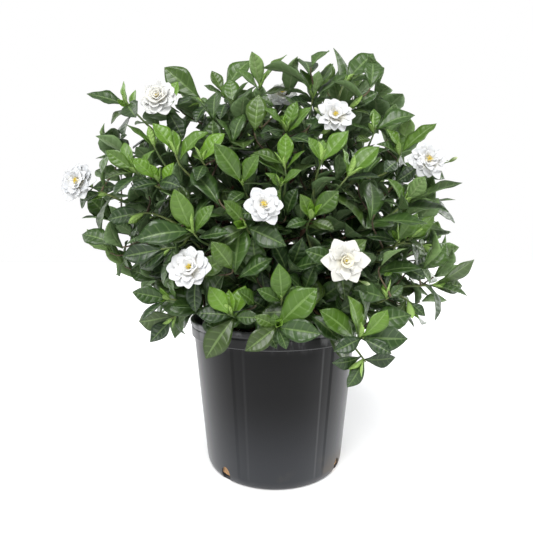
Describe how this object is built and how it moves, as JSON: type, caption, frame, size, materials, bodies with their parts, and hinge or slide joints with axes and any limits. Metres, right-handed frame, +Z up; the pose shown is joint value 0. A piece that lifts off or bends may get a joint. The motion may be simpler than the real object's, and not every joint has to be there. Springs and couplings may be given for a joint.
{
  "type": "potted gardenia",
  "caption": "Bushy flowering shrub with glossy green leaves and double white blooms, growing in a round tapered nursery pot.",
  "frame": {"origin": "centre of the flat underside of the pot", "axes": "+Z up along the pot's axis, -Y towards the side with the blooms, +X to its right when seen from there"},
  "size_m": [0.5987, 0.4767, 0.6654],
  "materials": {
    "pot": "satin charcoal, softly reflective",
    "soil": "crumbly bark and peat",
    "bark": "rough woody stems",
    "leaf": "glossy leaves, bright yellow-green where new",
    "petal": "soft white petals",
    "stamen": "powdery yellow"
  },
  "bodies": {
    "root": {"pot": "pot", "soil": "soil", "woody_stems": "bark", "petals_upper_left": "petal", "stamens_upper_left": "stamen", "petals_upper_right": "petal", "stamens_upper_right": "stamen", "petals_far_left": "petal", "stamens_far_left": "stamen", "petals_centre": "petal", "stamens_centre": "stamen", "petals_low_left": "petal", "stamens_low_left": "stamen", "petals_low_right": "petal", "stamens_low_right": "stamen", "petals_far_right": "petal", "stamens_far_right": "stamen", "petals_crown": "petal", "stamens_crown": "stamen", "leaves_top_left": "leaf", "leaves_crown_left": "leaf", "leaves_crown_right": "leaf", "leaves_top_right": "leaf", "leaves_right_shoulder": "leaf", "leaves_right_middle": "leaf", "leaves_upper_middle": "leaf", "leaves_middle": "leaf", "leaves_middle_right": "leaf", "leaves_middle_left": "leaf", "leaves_left_shoulder": "leaf", "leaves_left_middle": "leaf", "leaves_centre_left": "leaf", "leaves_left_face": "leaf", "leaves_left_side": "leaf", "leaves_left_low": "leaf", "leaves_over_rim_left": "leaf", "leaves_over_rim_middle": "leaf", "leaves_over_rim_right": "leaf", "leaves_right_edge": "leaf", "leaves_right_face": "leaf", "leaves_right_inner": "leaf", "leaves_bloom_upper_left": "leaf", "leaves_bloom_upper_right": "leaf", "leaves_bloom_far_left": "leaf", "leaves_bloom_centre": "leaf", "leaves_bloom_low_left": "leaf", "leaves_bloom_low_right": "leaf", "leaves_bloom_far_right": "leaf", "leaves_bloom_crown": "leaf", "leaves_back_1_1": "leaf", "leaves_back_1_2": "leaf", "leaves_back_1_3": "leaf", "leaves_back_2_1": "leaf", "leaves_back_2_2": "leaf", "leaves_back_2_3": "leaf", "leaves_back_2_4": "leaf", "leaves_back_3_1": "leaf", "leaves_back_3_2": "leaf", "leaves_back_3_3": "leaf"}
  },
  "joints": []
}
